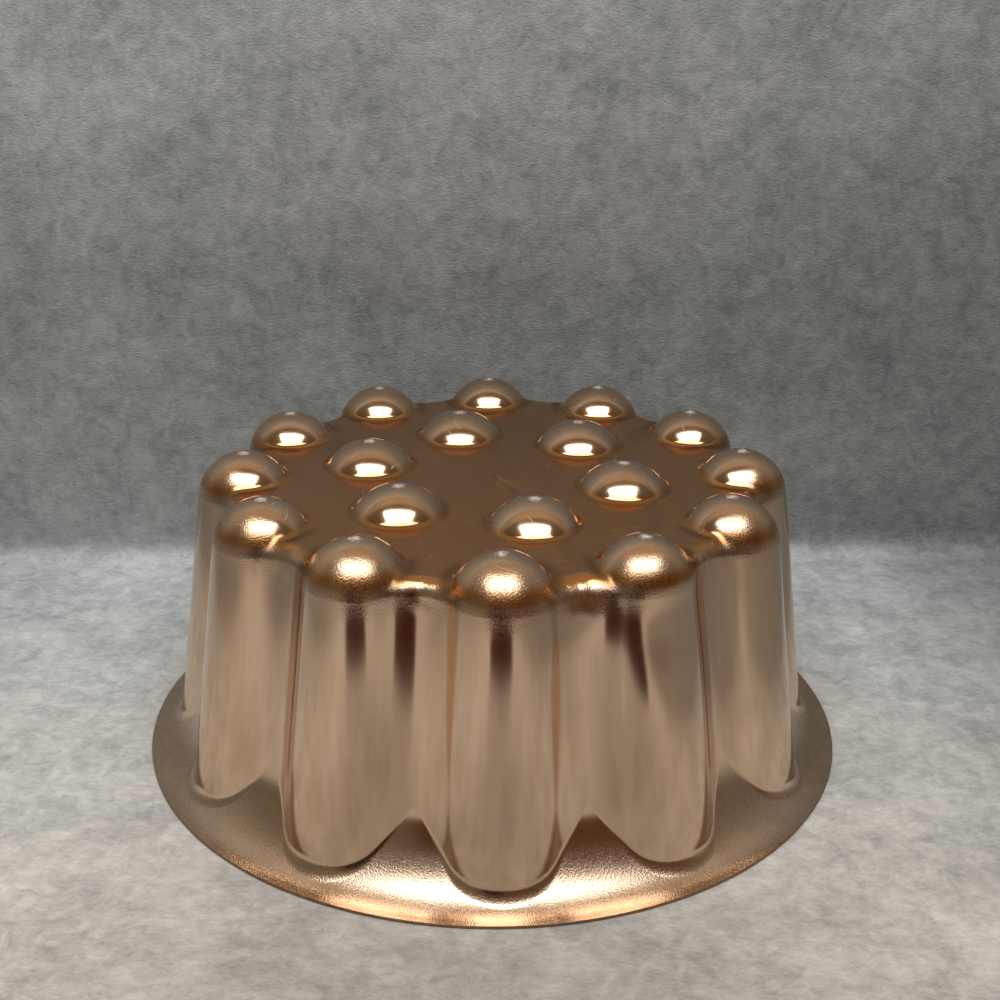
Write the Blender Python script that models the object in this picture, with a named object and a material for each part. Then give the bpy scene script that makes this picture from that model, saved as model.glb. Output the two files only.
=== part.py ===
"""Fluted jelly mould, pressed from one disc of sheet metal.

The mould stands mouth down: its round rim rests on the plane z = 0 and its domes are on top.
Half-round flutes lean in towards the top, and each one ends in a dome.
Between the flutes the wall runs out into a wide round flange through a tall hollow sweep.
Smaller sets of domes stand on the flat deck inside the ring of flutes.

The outer skin is described once, as a signed distance that is negative inside the form.
Rows of points are then laid on that skin, joined up, and given the thickness of the sheet.
"""

import math

import bmesh
import bpy
import numpy as np

MM = 0.001

# Whole mould
HEIGHT = 83.6 * MM
GAUGE = 0.9 * MM
FRONT = math.radians(-90)

# Flutes, each a half-round column that leans in towards the top
FLUTES = 12
FLUTE_CIRCLE = 69.8 * MM
FLUTE_LEAN = math.radians(7.9)
FLUTE_FOOT_GAP = 0.76 * MM
VALLEY_DEPTH_AT_DECK = 9.5 * MM
VALLEY_DEPTH_AT_FOOT = 7.2 * MM

# Domes, one on each flute and a ring of others on the deck
DOME_RADIUS = 13.2 * MM
DOME_RISE = 7.0 * MM
DOME_FOOT_RADIUS = 1.1 * MM
INNER_DOMES = 6
INNER_DOME_RADIUS = 14.7 * MM
INNER_SET_OUT = 0.37 * MM

# Edge of the deck, and the flange round the mouth
SHOULDER_RADIUS = 4.0 * MM
SWEEP_HEIGHT = 20.0 * MM
SWEEP_REACH = 13.0 * MM
CREASE_RADIUS = 2.4 * MM
FLANGE_FLAT = 1.5 * MM

# How finely each stretch of the skin is divided
COLUMN_SHARES = (0.0, 0.33, 0.56, 0.67, 0.84, 1.0)
DOME_ROWS = 9
WALL_ROWS = 3
CREASE_ROWS = 3
SWEEP_ROWS = 4
INNER_DOME_ROWS = 5
INNER_DOME_COLUMNS = 16
HALVINGS = 40

# Sizes that follow from the ones above
HALF_PITCH = math.pi / FLUTES
DECK = HEIGHT - DOME_RISE
DOME_CENTRE = HEIGHT - DOME_RADIUS
INNER_DOME_CENTRE = HEIGHT - INNER_DOME_RADIUS
LEAN_START = DOME_CENTRE + DOME_RADIUS * math.tan(FLUTE_LEAN / 2)
SWEEP_TOP = GAUGE + SWEEP_HEIGHT
FAR = 2 * (HEIGHT + FLUTE_CIRCLE)

# An inner dome stands as far from its neighbours as from the outer ring's domes, plus a small set-out
INNER_CIRCLE = FLUTE_CIRCLE / (2 * math.cos(HALF_PITCH)) + INNER_SET_OUT


def folded(azimuth, count):
    """Angle to the nearest of count evenly spaced directions, the first one at azimuth 0."""
    pitch = math.tau / count
    return np.abs((azimuth + pitch / 2) % pitch - pitch / 2)


def crest(z):
    """Radius of a flute's outermost line at height z, in line with its dome."""
    return FLUTE_CIRCLE + DOME_RADIUS + math.tan(FLUTE_LEAN) * (LEAN_START - z)


# Flutes widen towards the foot until only the gap is left between one and the next
FLUTE_BASE_RADIUS = (float(crest(0.0)) * math.sin(HALF_PITCH) - FLUTE_FOOT_GAP / 2) / (1 + math.sin(HALF_PITCH))


def flute_radius(z):
    """Radius of a flute's round section, wider towards the foot."""
    return FLUTE_BASE_RADIUS + (DOME_RADIUS - FLUTE_BASE_RADIUS) * z / DOME_CENTRE


def valley(z):
    """Radius of the line between two flutes, always clear of the line that touches both."""
    # It deepens fastest just above the foot, and runs nearly even below the deck
    depth = VALLEY_DEPTH_AT_FOOT + (VALLEY_DEPTH_AT_DECK - VALLEY_DEPTH_AT_FOOT) * (1 - (1 - z / DECK) ** 2)
    radius = flute_radius(z)
    shallowest = radius + (crest(z) - radius) * math.cos(HALF_PITCH) - GAUGE / 2
    return np.minimum(crest(z) - depth, shallowest)


RIM_RADIUS = float(valley(GAUGE)) + SWEEP_REACH + FLANGE_FLAT


def joined(first, second, fillet):
    """Distance to two shapes together, with a hollow fillet where they meet."""
    nearest = np.minimum(first, second)
    blend = np.hypot(np.maximum(fillet - first, 0), np.maximum(fillet - second, 0))
    return np.maximum(fillet, nearest) - blend


def common(first, second, rounding):
    """Distance to what two shapes share, with its edge rounded."""
    return -joined(-first, -second, rounding)


def wall(radius, angle, z):
    """Distance to the fluted wall: a round flute, then the hollow arc that joins it to the next."""
    bulge = flute_radius(z)
    centre = crest(z) - bulge
    bottom = valley(z)
    across, along = math.sin(HALF_PITCH), math.cos(HALF_PITCH)
    gap = bottom**2 + centre**2 - 2 * centre * bottom * along - bulge**2
    hollow = gap / (2 * (bulge + centre * along - bottom))
    hollow_x, hollow_y = (bottom + hollow) * along, (bottom + hollow) * across
    x, y = radius * np.cos(angle), radius * np.sin(angle)
    flute = np.hypot(x - centre, y) - bulge
    between = hollow - np.hypot(x - hollow_x, y - hollow_y)
    past_flute = (hollow_x - centre) * y - hollow_y * (x - centre) > 0
    return np.where(past_flute, between, flute)


def sweep_radius(z):
    """Radius of the hollow sweep that carries the wall out into the flange."""
    share = np.clip((SWEEP_TOP - z) / SWEEP_HEIGHT, 0, 1)
    return valley(z) + SWEEP_REACH * (1 - np.sqrt(1 - share**2))


def skirt(radius, z):
    """Distance to the sweep and the flange."""
    outward = (radius - valley(z)) / SWEEP_REACH - 1
    upward = (z - SWEEP_TOP) / SWEEP_HEIGHT
    size = np.hypot(outward, upward)
    slope = np.hypot(outward / SWEEP_REACH, upward / SWEEP_HEIGHT)
    hollow = size * (1 - size) / np.maximum(slope, 1)
    flange = np.where(outward >= 0, z - GAUGE, hollow)
    return np.where(z > SWEEP_TOP, np.maximum(radius - valley(z), z - SWEEP_TOP), flange)


def form(x, y, z):
    """Signed distance to the outer skin, negative inside the mould."""
    radius = np.hypot(x, y)
    azimuth = np.arctan2(y, x) - FRONT
    angle = folded(azimuth, FLUTES)
    inner_angle = folded(azimuth - HALF_PITCH, INNER_DOMES)

    slab = common(wall(radius, angle, z), z - DECK, SHOULDER_RADIUS)
    ahead, aside = radius * np.cos(angle) - FLUTE_CIRCLE, radius * np.sin(angle)
    dome = np.sqrt(ahead**2 + aside**2 + (z - DOME_CENTRE) ** 2) - DOME_RADIUS
    # A dome runs straight into its flute outside, and has a fillet only where it meets the deck
    turn = np.clip((np.arctan2(aside, ahead) - math.radians(50)) / math.radians(50), 0, 1)
    top = joined(slab, dome, DOME_FOOT_RADIUS * turn**2 * (3 - 2 * turn))

    ahead, aside = radius * np.cos(inner_angle) - INNER_CIRCLE, radius * np.sin(inner_angle)
    inner = np.sqrt(ahead**2 + aside**2 + (z - INNER_DOME_CENTRE) ** 2) - INNER_DOME_RADIUS
    top = joined(top, inner, DOME_FOOT_RADIUS)
    crease = CREASE_RADIUS * np.cos(np.pi / 2 * angle / HALF_PITCH) ** 2
    return joined(top, skirt(radius, z), crease)


def laid(origin, heading, farthest=FAR):
    """Points where straight lines from inside the form come out through its skin."""
    heading = heading / np.linalg.norm(heading, axis=-1, keepdims=True)
    near = np.zeros((len(heading), 1))
    far = np.full((len(heading), 1), farthest)
    for _ in range(HALVINGS):
        middle = (near + far) / 2
        inside = form(*(origin + middle * heading).T)[:, None] < 0
        near = np.where(inside, middle, near)
        far = np.where(inside, far, middle)
    return origin + near * heading


def seam(angle):
    """Height at which the fluted wall meets the sweep at each angle."""
    low = np.full_like(angle, GAUGE)
    high = np.full_like(angle, SWEEP_TOP)
    for _ in range(HALVINGS):
        middle = (low + high) / 2
        wall_stands_clear = wall(sweep_radius(middle), angle, middle) > 0
        low, high = np.where(wall_stands_clear, middle, low), np.where(wall_stands_clear, high, middle)
    return low


def foot_reach(dome_radius, margin):
    """Flat distance from a dome's axis to the outer edge of its fillet on the deck."""
    above_centre = dome_radius - DOME_RISE
    return math.sqrt((dome_radius + DOME_FOOT_RADIUS) ** 2 - above_centre**2) + margin


def skin_rows():
    """Rings of points from the deck's edge down to the rim, each one a row of the sheet."""
    right = np.array(COLUMN_SHARES) * HALF_PITCH
    one_flute = np.concatenate([-right[-2:0:-1], right])
    azimuth = np.concatenate([one_flute + 2 * HALF_PITCH * flute for flute in range(FLUTES)])
    angle = folded(azimuth, FLUTES)
    outward = np.stack([np.cos(azimuth + FRONT), np.sin(azimuth + FRONT), 0 * azimuth], -1)
    upward = np.array([0.0, 0.0, 1.0])
    column = angle[:, None]
    rows = []

    # Round each dome from the flat deck over the top and down to the wall
    middle = FLUTE_CIRCLE * np.cos(column)
    beside = FLUTE_CIRCLE * np.sin(column)
    past_shoulder = middle + SHOULDER_RADIUS - float(valley(DECK)) + GAUGE / 2
    reach = foot_reach(DOME_RADIUS, GAUGE / 2)
    inward = np.sqrt(np.maximum(reach**2 - beside**2, np.maximum(past_shoulder, GAUGE) ** 2))
    first = -np.arctan2(inward, DECK - DOME_CENTRE)
    centres = outward * middle + upward * DOME_CENTRE
    past_fillet = DOME_RADIUS + DOME_FOOT_RADIUS + GAUGE
    for share in np.linspace(0, 1, DOME_ROWS + 1) ** 1.25:
        turn = first + (np.pi / 2 - first) * share
        rows.append(laid(centres, outward * np.sin(turn) + upward * np.cos(turn), past_fillet))

    # Down the wall, level by level
    foot = seam(angle)[:, None]
    wall_end = foot + np.minimum(CREASE_RADIUS + GAUGE, (DOME_CENTRE - foot) / 4)
    for share in np.linspace(0, 1, WALL_ROWS + 1)[1:]:
        level = DOME_CENTRE + (wall_end - DOME_CENTRE) * share
        rows.append(laid(outward * middle / 2 + upward * level, outward))

    # Round the crease and out along the sweep, turning about a point inside the mould
    pivot_radius = float(valley(SWEEP_TOP)) - SWEEP_HEIGHT / 4
    pivot = outward * pivot_radius - upward * SWEEP_HEIGHT
    wall_foot = np.hypot(rows[-1][:, :1], rows[-1][:, 1:2])
    bearings = [
        np.arctan2(wall_foot - pivot_radius, wall_end + SWEEP_HEIGHT),
        np.arctan2(sweep_radius(foot) - pivot_radius, foot + SWEEP_HEIGHT),
        np.arctan2(RIM_RADIUS - FLANGE_FLAT - pivot_radius, GAUGE + SWEEP_HEIGHT),
    ]
    for start, end, count in zip(bearings, bearings[1:], (CREASE_ROWS, SWEEP_ROWS)):
        for share in np.linspace(0, 1, count + 1)[1:]:
            bearing = start + (end - start) * share
            rows.append(laid(pivot, outward * np.sin(bearing) + upward * np.cos(bearing)))
    rows.append(outward * RIM_RADIUS + upward * GAUGE)
    return rows


def inner_dome_rows(azimuth):
    """Rings of points on one of the deck's domes, from its foot to just under its top."""
    centre = INNER_CIRCLE * np.array([math.cos(azimuth), math.sin(azimuth), 0.0])
    centre[2] = INNER_DOME_CENTRE
    round_axis = np.arange(INNER_DOME_COLUMNS)[:, None] * math.tau / INNER_DOME_COLUMNS
    sideways = np.concatenate([np.cos(round_axis), np.sin(round_axis), 0 * round_axis], 1)
    upward = np.array([0.0, 0.0, 1.0])
    foot = math.atan2(foot_reach(INNER_DOME_RADIUS, 0.0), DECK - INNER_DOME_CENTRE)
    fillet_top = math.acos((DECK + DOME_FOOT_RADIUS - INNER_DOME_CENTRE) / INNER_DOME_RADIUS)
    past_fillet = INNER_DOME_RADIUS + DOME_FOOT_RADIUS + GAUGE
    rows = []
    for turn in (foot, *np.linspace(fillet_top, 0, INNER_DOME_ROWS)[:-1]):
        rows.append(laid(centre, sideways * math.sin(turn) + upward * math.cos(turn), past_fillet))
    return rows


def edges_of(mesh, ring):
    """Edges that join each vertex of a closed ring to the next."""
    return [mesh.edges.get((vert, ring[place - 1])) for place, vert in enumerate(ring)]


def first_ring(mesh, row):
    """Closed ring of vertices on a row of points."""
    ring = bmesh.ops.create_circle(mesh, segments=len(row), radius=FLUTE_CIRCLE)["verts"]
    for vert, point in zip(ring, row):
        vert.co = point
    return ring


def drawn_on(mesh, ring, row):
    """Extrudes a ring and sets the new one on the next row of points."""
    made = bmesh.ops.extrude_edge_only(mesh, edges=edges_of(mesh, ring))["geom"]
    new = {item for item in made if isinstance(item, bmesh.types.BMVert)}
    following = []
    for vert, point in zip(ring, row):
        partner = next(edge.other_vert(vert) for edge in vert.link_edges if edge.other_vert(vert) in new)
        partner.co = point
        following.append(partner)
    return following


def add_inner_dome(mesh, azimuth):
    """Builds one dome of the deck and returns the open ring at its foot."""
    rows = inner_dome_rows(azimuth)
    foot = first_ring(mesh, rows[0])
    ring = foot
    for row in rows[1:]:
        ring = drawn_on(mesh, ring, row)
    cap = bmesh.ops.contextual_create(mesh, geom=edges_of(mesh, ring))["faces"]
    peak = bmesh.ops.poke(mesh, faces=cap)["verts"][0]
    peak.co = (INNER_CIRCLE * math.cos(azimuth), INNER_CIRCLE * math.sin(azimuth), HEIGHT)
    return foot


def outer_skin():
    """Mesh of the whole outer skin, an open sheet from the deck to the rim."""
    mesh = bmesh.new()
    rows = skin_rows()
    deck_edge = first_ring(mesh, rows[0])
    ring = deck_edge
    for row in rows[1:]:
        ring = drawn_on(mesh, ring, row)
    deck_loops = edges_of(mesh, deck_edge)
    for number in range(INNER_DOMES):
        azimuth = FRONT + HALF_PITCH + math.tau * number / INNER_DOMES
        deck_loops += edges_of(mesh, add_inner_dome(mesh, azimuth))
    bmesh.ops.triangle_fill(mesh, use_beauty=True, edges=deck_loops)
    bmesh.ops.recalc_face_normals(mesh, faces=mesh.faces)
    return mesh


def copper_finish():
    """Aluminium with a copper-coloured anodised skin, drawn bright by the press tool."""
    material = bpy.data.materials.new("copper_anodised_aluminium")
    material.use_nodes = True
    shader = material.node_tree.nodes["Principled BSDF"]
    shader.inputs["Base Color"].default_value = (0.70, 0.45, 0.33, 1.0)
    shader.inputs["Metallic"].default_value = 1.0
    shader.inputs["Roughness"].default_value = 0.22
    return material


def add_mould_shell():
    """The pressed mould as one object, with the sheet's thickness inside the skin."""
    skin = outer_skin()
    data = bpy.data.meshes.new("mould_shell")
    skin.to_mesh(data)
    skin.free()
    data.materials.append(copper_finish())
    data.shade_smooth()
    data.set_sharp_from_angle(angle=math.radians(40))
    shell = bpy.data.objects.new("mould_shell", data)
    bpy.context.scene.collection.objects.link(shell)
    sheet = shell.modifiers.new("sheet", "SOLIDIFY")
    sheet.thickness = GAUGE
    sheet.offset = -1.0
    sheet.use_even_offset = True
    sheet.use_quality_normals = True
    return shell


def main():
    """Clears the scene and builds the mould."""
    for old in list(bpy.data.objects):
        bpy.data.objects.remove(old)
    add_mould_shell()


main()
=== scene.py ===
"""Looks of a fluted jelly mould that stands mouth down on a pale felt floor.

The mould is one sheet of aluminium, pressed over a form and then anodised to a copper colour.
Its outer skin is laid finely on the same form as the solid, with the small faults of a pressed sheet.
Lengths are in metres, and +Z is up.
"""

import logging
import math
from dataclasses import dataclass, field
from enum import Enum
from typing import Any

import bmesh
import bpy
import numpy as np
from mathutils import Matrix

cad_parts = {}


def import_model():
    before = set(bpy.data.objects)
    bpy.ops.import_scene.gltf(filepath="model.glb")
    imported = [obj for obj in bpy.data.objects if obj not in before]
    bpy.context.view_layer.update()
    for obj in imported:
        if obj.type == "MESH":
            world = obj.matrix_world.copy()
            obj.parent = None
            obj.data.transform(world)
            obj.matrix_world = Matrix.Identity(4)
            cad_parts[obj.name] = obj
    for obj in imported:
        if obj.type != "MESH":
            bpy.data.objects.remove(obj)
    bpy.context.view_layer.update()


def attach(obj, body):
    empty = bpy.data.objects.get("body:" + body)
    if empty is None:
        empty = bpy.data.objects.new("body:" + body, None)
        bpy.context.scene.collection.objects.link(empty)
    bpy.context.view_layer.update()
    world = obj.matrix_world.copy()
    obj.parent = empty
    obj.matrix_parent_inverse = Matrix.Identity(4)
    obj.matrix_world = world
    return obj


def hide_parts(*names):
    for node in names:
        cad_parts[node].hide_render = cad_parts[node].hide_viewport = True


LOG = logging.getLogger("jelly_mould")
MM = 0.001
FRONT = math.radians(-90)
HALVINGS = 28  # brings a point to within a nanometre of the skin
COLOUR = {"data_type": "RGBA"}
EASED = {"interpolation_type": "SMOOTHSTEP"}
ADD, SUBTRACT, MULTIPLY, MULTIPLY_ADD = (
    {"operation": name} for name in ("ADD", "SUBTRACT", "MULTIPLY", "MULTIPLY_ADD")
)

Array = np.ndarray


def linear(code: str) -> tuple[float, float, float, float]:
    """Turns an sRGB hex colour into linear light.

    Args:
        code: Six hex digits, with or without a leading hash.

    Returns:
        Red, green, blue and full opacity, each from 0 to 1.
    """
    digits = code.lstrip("#")
    levels = [int(digits[place : place + 2], 16) / 255 for place in (0, 2, 4)]
    light = [c / 12.92 if c <= 0.04045 else ((c + 0.055) / 1.055) ** 2.4 for c in levels]
    return light[0], light[1], light[2], 1.0


def add_node(tree: Any, kind: str, settings: dict[str, Any] | None = None, **inputs: Any) -> Any:
    """Adds a node with its settings, and sets or links its inputs.

    Args:
        tree: Node tree that takes the node.
        kind: Name of the node's class after ShaderNode, such as TexNoise.
        settings: Values of the node's own properties.
        inputs: Values or output sockets, by input name with _ for a space, or by i and its number.

    Returns:
        The new node.
    """
    node = tree.nodes.new("ShaderNode" + kind)
    for name, value in (settings or {}).items():
        setattr(node, name, value)
    for name, value in inputs.items():
        key = int(name[1:]) if name[0] == "i" and name[1:].isdigit() else name.replace("_", " ")
        if isinstance(value, bpy.types.NodeSocket):
            tree.links.new(value, node.inputs[key])
        else:
            node.inputs[key].default_value = value
    return node


def begun(name: str) -> tuple[Any, Any, Any]:
    """Starts a material.

    Args:
        name: Name of the material.

    Returns:
        The material, its node tree and its shader.
    """
    material = bpy.data.materials.new(name)
    material.use_nodes = True
    return material, material.node_tree, material.node_tree.nodes["Principled BSDF"]


def smooth_step(value: Array, low: float, high: float) -> Array:
    """Rises smoothly from 0 at low to 1 at high."""
    share = np.clip((value - low) / (high - low), 0, 1)
    return share * share * (3 - 2 * share)


def unit(vectors: Array) -> Array:
    """Scales each vector along the last axis to length 1."""
    return vectors / np.linalg.norm(vectors, axis=-1, keepdims=True)


@dataclass(frozen=True)
class PressedForm:
    """Outer form of the mould, as a signed distance that is negative inside."""

    height: float = 83.6 * MM
    gauge: float = 0.9 * MM
    flutes: int = 12
    flute_circle: float = 69.8 * MM
    flute_lean: float = math.radians(7.9)
    flute_base_radius: float = 18.8 * MM
    valley_depth_at_deck: float = 9.5 * MM
    valley_depth_at_foot: float = 7.2 * MM
    dome_radius: float = 13.2 * MM
    dome_rise: float = 7.0 * MM
    dome_foot_radius: float = 1.1 * MM
    dome_foot_turn: tuple[float, float] = (math.radians(50), math.radians(100))
    inner_domes: int = 6
    inner_dome_radius: float = 14.7 * MM
    inner_circle: float = 36.5 * MM
    shoulder_radius: float = 4.0 * MM
    sweep_height: float = 20.0 * MM
    sweep_reach: float = 13.0 * MM
    crease_radius: float = 2.4 * MM
    flange_flat: float = 1.5 * MM

    @property
    def half_pitch(self) -> float:
        """Angle from the middle of a flute to the valley beside it."""
        return math.pi / self.flutes

    @property
    def deck(self) -> float:
        """Height of the flat deck."""
        return self.height - self.dome_rise

    @property
    def dome_centre(self) -> float:
        """Height of the domes' centres."""
        return self.height - self.dome_radius

    @property
    def sweep_top(self) -> float:
        """Height at which the hollow sweep leaves the wall."""
        return self.gauge + self.sweep_height

    @property
    def rim_radius(self) -> float:
        """Radius of the mould's round rim."""
        return float(self.valley(np.array(self.gauge))) + self.sweep_reach + self.flange_flat

    def folded(self, azimuth: Array, count: int) -> Array:
        """Gives the angle to the nearest of evenly spaced directions, the first one at 0."""
        pitch = math.tau / count
        return np.abs((azimuth + pitch / 2) % pitch - pitch / 2)

    def crest(self, z: Array) -> Array:
        """Gives the radius of a flute's outermost line at each height."""
        start = self.dome_centre + self.dome_radius * math.tan(self.flute_lean / 2)
        return self.flute_circle + self.dome_radius + math.tan(self.flute_lean) * (start - z)

    def flute_radius(self, z: Array) -> Array:
        """Gives the radius of a flute's round section at each height."""
        widening = self.dome_radius - self.flute_base_radius
        return self.flute_base_radius + widening * z / self.dome_centre

    def valley(self, z: Array) -> Array:
        """Gives the radius of the line between two flutes at each height."""
        deepening = (self.valley_depth_at_deck - self.valley_depth_at_foot) * (1 - (1 - z / self.deck) ** 2)
        return self.crest(z) - self.valley_depth_at_foot - deepening

    def sweep_radius(self, z: Array) -> Array:
        """Gives the radius of the hollow sweep at each height."""
        share = np.clip((self.sweep_top - z) / self.sweep_height, 0, 1)
        return self.valley(z) + self.sweep_reach * (1 - np.sqrt(1 - share**2))

    def wall(self, radius: Array, angle: Array, z: Array) -> Array:
        """Measures from the fluted wall.

        Args:
            radius: Distance from the mould's axis.
            angle: Angle from the middle of the nearest flute.
            z: Height.

        Returns:
            Distance, negative inside.
        """
        bulge = self.flute_radius(z)
        centre = self.crest(z) - bulge
        bottom = self.valley(z)
        across, along = math.sin(self.half_pitch), math.cos(self.half_pitch)
        # The hollow between two flutes is an arc that touches both of them and the valley's bottom
        gap = bottom**2 + centre**2 - 2 * centre * bottom * along - bulge**2
        hollow = gap / (2 * (bulge + centre * along - bottom))
        hollow_x, hollow_y = (bottom + hollow) * along, (bottom + hollow) * across
        x, y = radius * np.cos(angle), radius * np.sin(angle)
        flute = np.hypot(x - centre, y) - bulge
        between = hollow - np.hypot(x - hollow_x, y - hollow_y)
        past_flute = (hollow_x - centre) * y - hollow_y * (x - centre) > 0
        return np.where(past_flute, between, flute)

    def skirt(self, radius: Array, z: Array) -> Array:
        """Measures from the hollow sweep and the flange.

        Args:
            radius: Distance from the mould's axis.
            z: Height.

        Returns:
            Distance, negative inside.
        """
        # The sweep is a quarter of an ellipse, measured by its value over its slope
        outward = (radius - self.valley(z)) / self.sweep_reach - 1
        upward = (z - self.sweep_top) / self.sweep_height
        size = np.hypot(outward, upward)
        slope = np.hypot(outward / self.sweep_reach, upward / self.sweep_height)
        hollow = size * (1 - size) / np.maximum(slope, 1)
        flange = np.where(outward >= 0, z - self.gauge, hollow)
        above = np.maximum(radius - self.valley(z), z - self.sweep_top)
        return np.where(z > self.sweep_top, above, flange)

    @staticmethod
    def joined(first: Array, second: Array, fillet: Array | float) -> Array:
        """Measures from two shapes together, with a hollow fillet where they meet.

        Args:
            first: Distance from one shape.
            second: Distance from the other.
            fillet: Radius of the fillet.

        Returns:
            Distance, negative inside either.
        """
        nearest = np.minimum(first, second)
        blend = np.hypot(np.maximum(fillet - first, 0), np.maximum(fillet - second, 0))
        return np.maximum(fillet, nearest) - blend

    def distance(self, points: Array) -> Array:
        """Measures points from the outer skin.

        Args:
            points: Points, with x, y and z along the last axis.

        Returns:
            Distance of each point, negative inside the form.
        """
        x, y, z = points[..., 0], points[..., 1], points[..., 2]
        radius = np.hypot(x, y)
        azimuth = np.arctan2(y, x) - FRONT
        angle = self.folded(azimuth, self.flutes)
        inner_angle = self.folded(azimuth - self.half_pitch, self.inner_domes)
        slab = -self.joined(-self.wall(radius, angle, z), self.deck - z, self.shoulder_radius)
        ahead, aside = radius * np.cos(angle) - self.flute_circle, radius * np.sin(angle)
        dome = np.sqrt(ahead**2 + aside**2 + (z - self.dome_centre) ** 2) - self.dome_radius
        turn = smooth_step(np.arctan2(aside, ahead), *self.dome_foot_turn)
        top = self.joined(slab, dome, self.dome_foot_radius * turn)
        ahead = radius * np.cos(inner_angle) - self.inner_circle
        aside = radius * np.sin(inner_angle)
        rise = z - self.height + self.inner_dome_radius
        inner = np.sqrt(ahead**2 + aside**2 + rise**2) - self.inner_dome_radius
        top = self.joined(top, inner, self.dome_foot_radius)
        crease = self.crease_radius * np.cos(np.pi / 2 * angle / self.half_pitch) ** 2
        return self.joined(top, self.skirt(radius, z), crease)

    def outward(self, points: Array) -> Array:
        """Gives the direction straight out of the skin.

        Args:
            points: Points on or near the skin.

        Returns:
            A direction of length 1 at each point.
        """
        step = 0.01 * MM
        sides = [step * np.eye(3)[axis] for axis in range(3)]
        rise = [self.distance(points + side) - self.distance(points - side) for side in sides]
        return unit(np.stack(rise, -1))

    def laid(self, origin: Array, heading: Array, farthest: float = 0.2) -> Array:
        """Follows straight lines from inside the form to its skin.

        Args:
            origin: Where each line starts, inside the form.
            heading: Direction of each line.
            farthest: Length of the lines.

        Returns:
            The points where the lines come out.
        """
        heading = unit(heading)
        near = np.zeros(heading.shape[:-1])
        far = np.full(heading.shape[:-1], farthest)
        for _ in range(HALVINGS):
            middle = (near + far) / 2
            inside = self.distance(origin + middle[..., None] * heading) < 0
            near, far = np.where(inside, middle, near), np.where(inside, far, middle)
        return origin + near[..., None] * heading

    def seam(self, angle: Array) -> Array:
        """Finds where the fluted wall meets the sweep.

        Args:
            angle: Angles from the middle of the nearest flute.

        Returns:
            Height of the meeting at each angle.
        """
        low = np.full_like(angle, self.gauge)
        high = np.full_like(angle, self.sweep_top)
        for _ in range(HALVINGS):
            middle = (low + high) / 2
            clear = self.wall(self.sweep_radius(middle), angle, middle) > 0
            low, high = np.where(clear, middle, low), np.where(clear, high, middle)
        return low


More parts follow.
